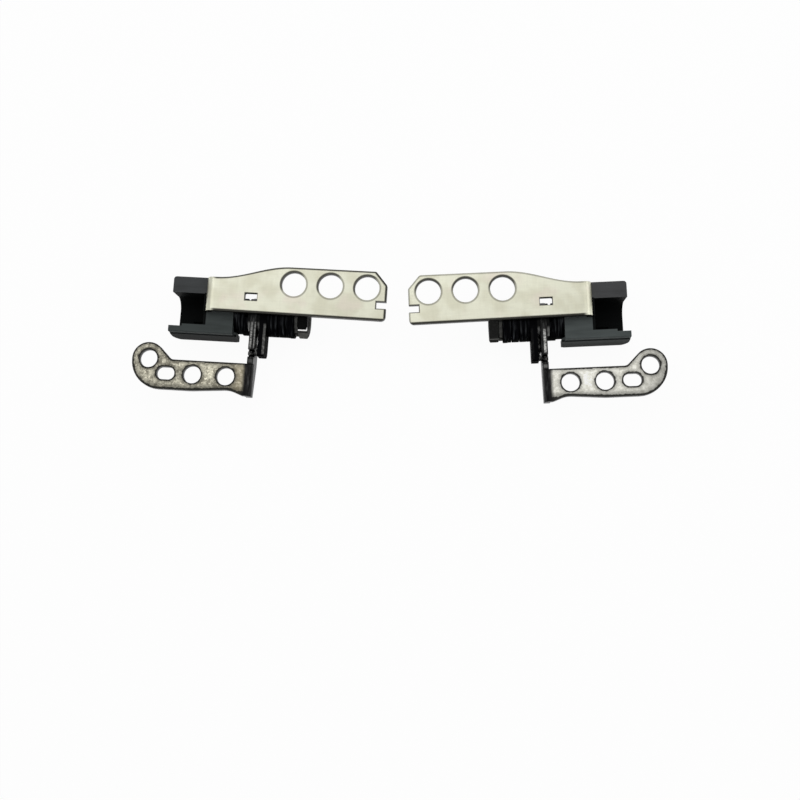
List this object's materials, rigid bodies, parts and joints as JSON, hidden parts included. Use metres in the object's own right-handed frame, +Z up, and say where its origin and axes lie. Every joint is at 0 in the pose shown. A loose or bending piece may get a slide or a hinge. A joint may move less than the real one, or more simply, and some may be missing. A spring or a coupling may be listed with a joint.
{
  "type": "pair of laptop hinges",
  "caption": "Mirrored pair of laptop lid hinges: drilled lid plates and lobed foot plates on shafts with friction washers, disc springs, nuts and dark plastic cable caps.",
  "frame": {"origin": "middle of the pair's box, on the surface that the hinges lie on", "axes": "+X along the shafts towards the right hinge, +Y from the feet to the lid plates, +Z up out of the plates"},
  "size_m": [0.0904, 0.0226, 0.0079],
  "materials": {
    "lid_plate": "nickel plated, satin",
    "foot_plate": "nickel plated, grained",
    "cap_plastic": "fine spark texture",
    "dark_steel": "black oxide, greased",
    "washer_steel": "dark phosphate",
    "nut_steel": "dark zinc"
  },
  "bodies": {
    "base": {"left_foot_bracket": "foot_plate", "left_inner_washer": "washer_steel", "left_hook_plate": "washer_steel", "right_foot_bracket": "foot_plate", "right_inner_washer": "washer_steel", "right_hook_plate": "washer_steel"},
    "left_lid": {"left_lid_bracket": "lid_plate", "left_cap": "cap_plastic", "left_shaft": "dark_steel", "left_collar_washer": "dark_steel", "left_stop_disc": "dark_steel", "left_outer_washer": "washer_steel", "left_backing_washer": "dark_steel", "left_pressure_washer": "dark_steel", "left_lock_washer": "nut_steel", "left_nut": "nut_steel", "left_disc_spring_1": "dark_steel", "left_disc_spring_2": "dark_steel", "left_disc_spring_3": "dark_steel", "left_disc_spring_4": "dark_steel", "left_disc_spring_5": "dark_steel"},
    "right_lid": {"right_lid_bracket": "lid_plate", "right_cap": "cap_plastic", "right_shaft": "dark_steel", "right_collar_washer": "dark_steel", "right_stop_disc": "dark_steel", "right_outer_washer": "washer_steel", "right_backing_washer": "dark_steel", "right_pressure_washer": "dark_steel", "right_lock_washer": "nut_steel", "right_nut": "nut_steel", "right_disc_spring_1": "dark_steel", "right_disc_spring_2": "dark_steel", "right_disc_spring_3": "dark_steel", "right_disc_spring_4": "dark_steel", "right_disc_spring_5": "dark_steel"}
  },
  "joints": [
    {"name": "left_lid_turn", "type": "hinge", "parent": "base", "child": "left_lid", "pos_m": [-0.02451, 0.00345, 0.0033], "axis": [0.9987, -0.0501, 0], "range_deg": [-180, 0]},
    {"name": "right_lid_turn", "type": "hinge", "parent": "base", "child": "right_lid", "pos_m": [0.02451, 0.00287, 0.0033], "axis": [0.9987, 0.0501, 0], "range_deg": [-180, 0]}
  ]
}
